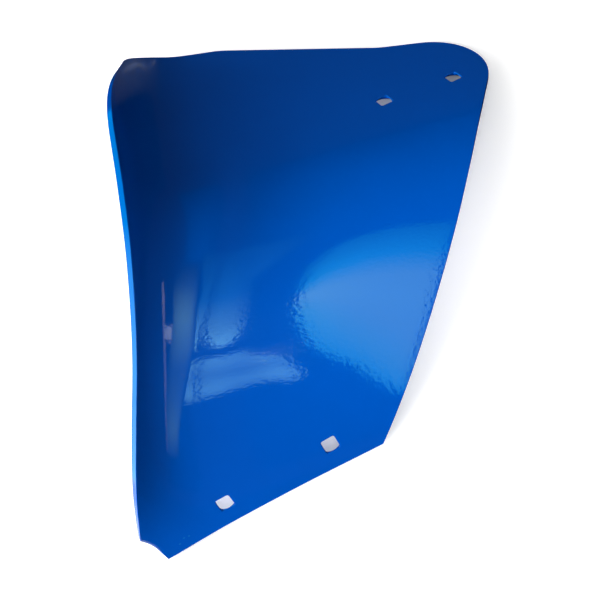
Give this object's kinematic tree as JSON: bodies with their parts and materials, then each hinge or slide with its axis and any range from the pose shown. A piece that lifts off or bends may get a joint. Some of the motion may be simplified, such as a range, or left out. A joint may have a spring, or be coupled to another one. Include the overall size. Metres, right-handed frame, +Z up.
{
  "type": "skimmer mouldboard",
  "caption": "Blue painted plough skimmer mouldboard, pressed from steel plate: rolled lengthwise, curled up along one side, with four square bolt holes countersunk underneath.",
  "frame": {"origin": "centre of the foot of the bounding box, on the surface that the plate lies on", "axes": "+Z up as the plate lies with its curl upwards, +X across the plate towards the corner with the frog's bolt holes, +Y from the share edge to the far edge"},
  "size_m": [0.375, 0.4482, 0.1326],
  "materials": {
    "blue_paint": "gloss"
  },
  "bodies": {
    "root": {"mouldboard": "blue_paint"}
  },
  "joints": []
}
